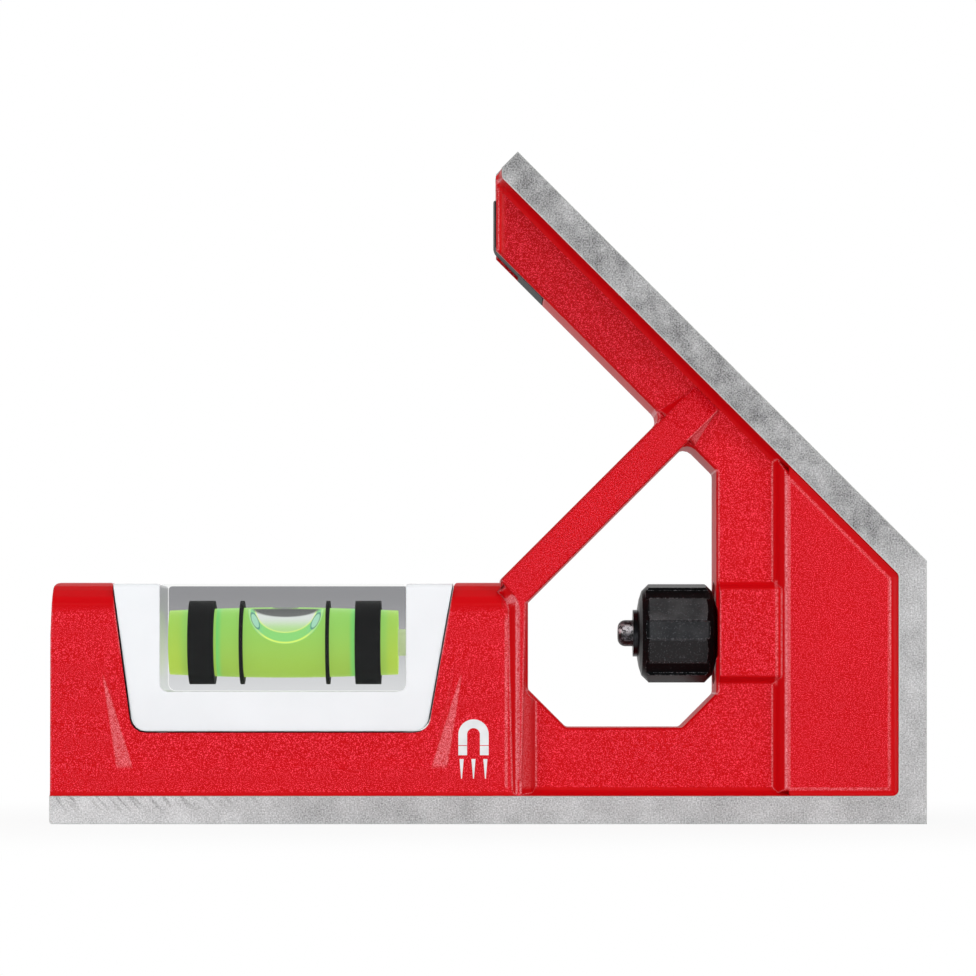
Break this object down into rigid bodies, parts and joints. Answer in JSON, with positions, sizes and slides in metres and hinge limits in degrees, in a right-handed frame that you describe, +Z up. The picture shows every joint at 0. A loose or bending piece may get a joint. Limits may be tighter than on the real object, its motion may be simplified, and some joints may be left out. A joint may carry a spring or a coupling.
{
  "type": "combination square head",
  "caption": "Die-cast head of a magnetic combination square with 90 and 45 degree faces, a spirit vial, a clamp nut for a rule and a stowed scriber.",
  "frame": {"origin": "middle of the base face, in the mid-plane of the head", "axes": "+X along the base towards the rule slot, +Y from the front to the back, +Z up from the base face"},
  "size_m": [0.125, 0.02, 0.0958],
  "materials": {
    "red_enamel": "textured red enamel, ground bare on the bands",
    "white_plastic": "satin moulded plastic",
    "clear_acrylic": "polished clear acrylic",
    "green_liquid": "clear green vial liquid",
    "clear_plug": "clear moulded plastic",
    "black_band": "printed black",
    "black_nut": "matt black coat, bright at the edges",
    "dark_steel": "blackened steel",
    "spring_steel": "bright wire",
    "black_plastic": "matt moulded plastic",
    "tool_steel": "ground steel",
    "nickel": "nickel plate"
  },
  "bodies": {
    "head": {"head_casting": "red_enamel", "vial_holder": "white_plastic", "vial_block": "clear_acrylic", "vial_liquid": "green_liquid", "vial_plug": "clear_plug", "vial_band_left": "black_band", "vial_band_right": "black_band", "vial_line_left": "black_band", "vial_line_right": "black_band", "clamp_spring": "spring_steel", "base_magnet_left": "nickel", "base_magnet_right": "nickel"},
    "nut": {"clamp_nut": "black_nut", "nut_insert": "dark_steel"},
    "bolt": {"lock_bolt": "dark_steel"},
    "scriber": {"scriber_handle": "black_plastic", "scriber_needle": "tool_steel"}
  },
  "joints": [
    {"name": "nut_turn", "type": "hinge", "parent": "head", "child": "nut", "pos_m": [0.0273, 0, 0.0273], "axis": [-1, 0, 0], "range_deg": [0, 540]},
    {"name": "bolt_slide", "type": "slide", "parent": "head", "child": "bolt", "axis": [1, 0, 0], "range_m": [0, 0.00106]},
    {"name": "scriber_slide", "type": "slide", "parent": "head", "child": "scriber", "axis": [-0.7071, 0, 0.7071], "range_m": [0, 0.05]}
  ],
  "couplings": [
    {"joint": "bolt_slide", "follows": "nut_turn", "m_per_rad": 0.00011141}
  ]
}
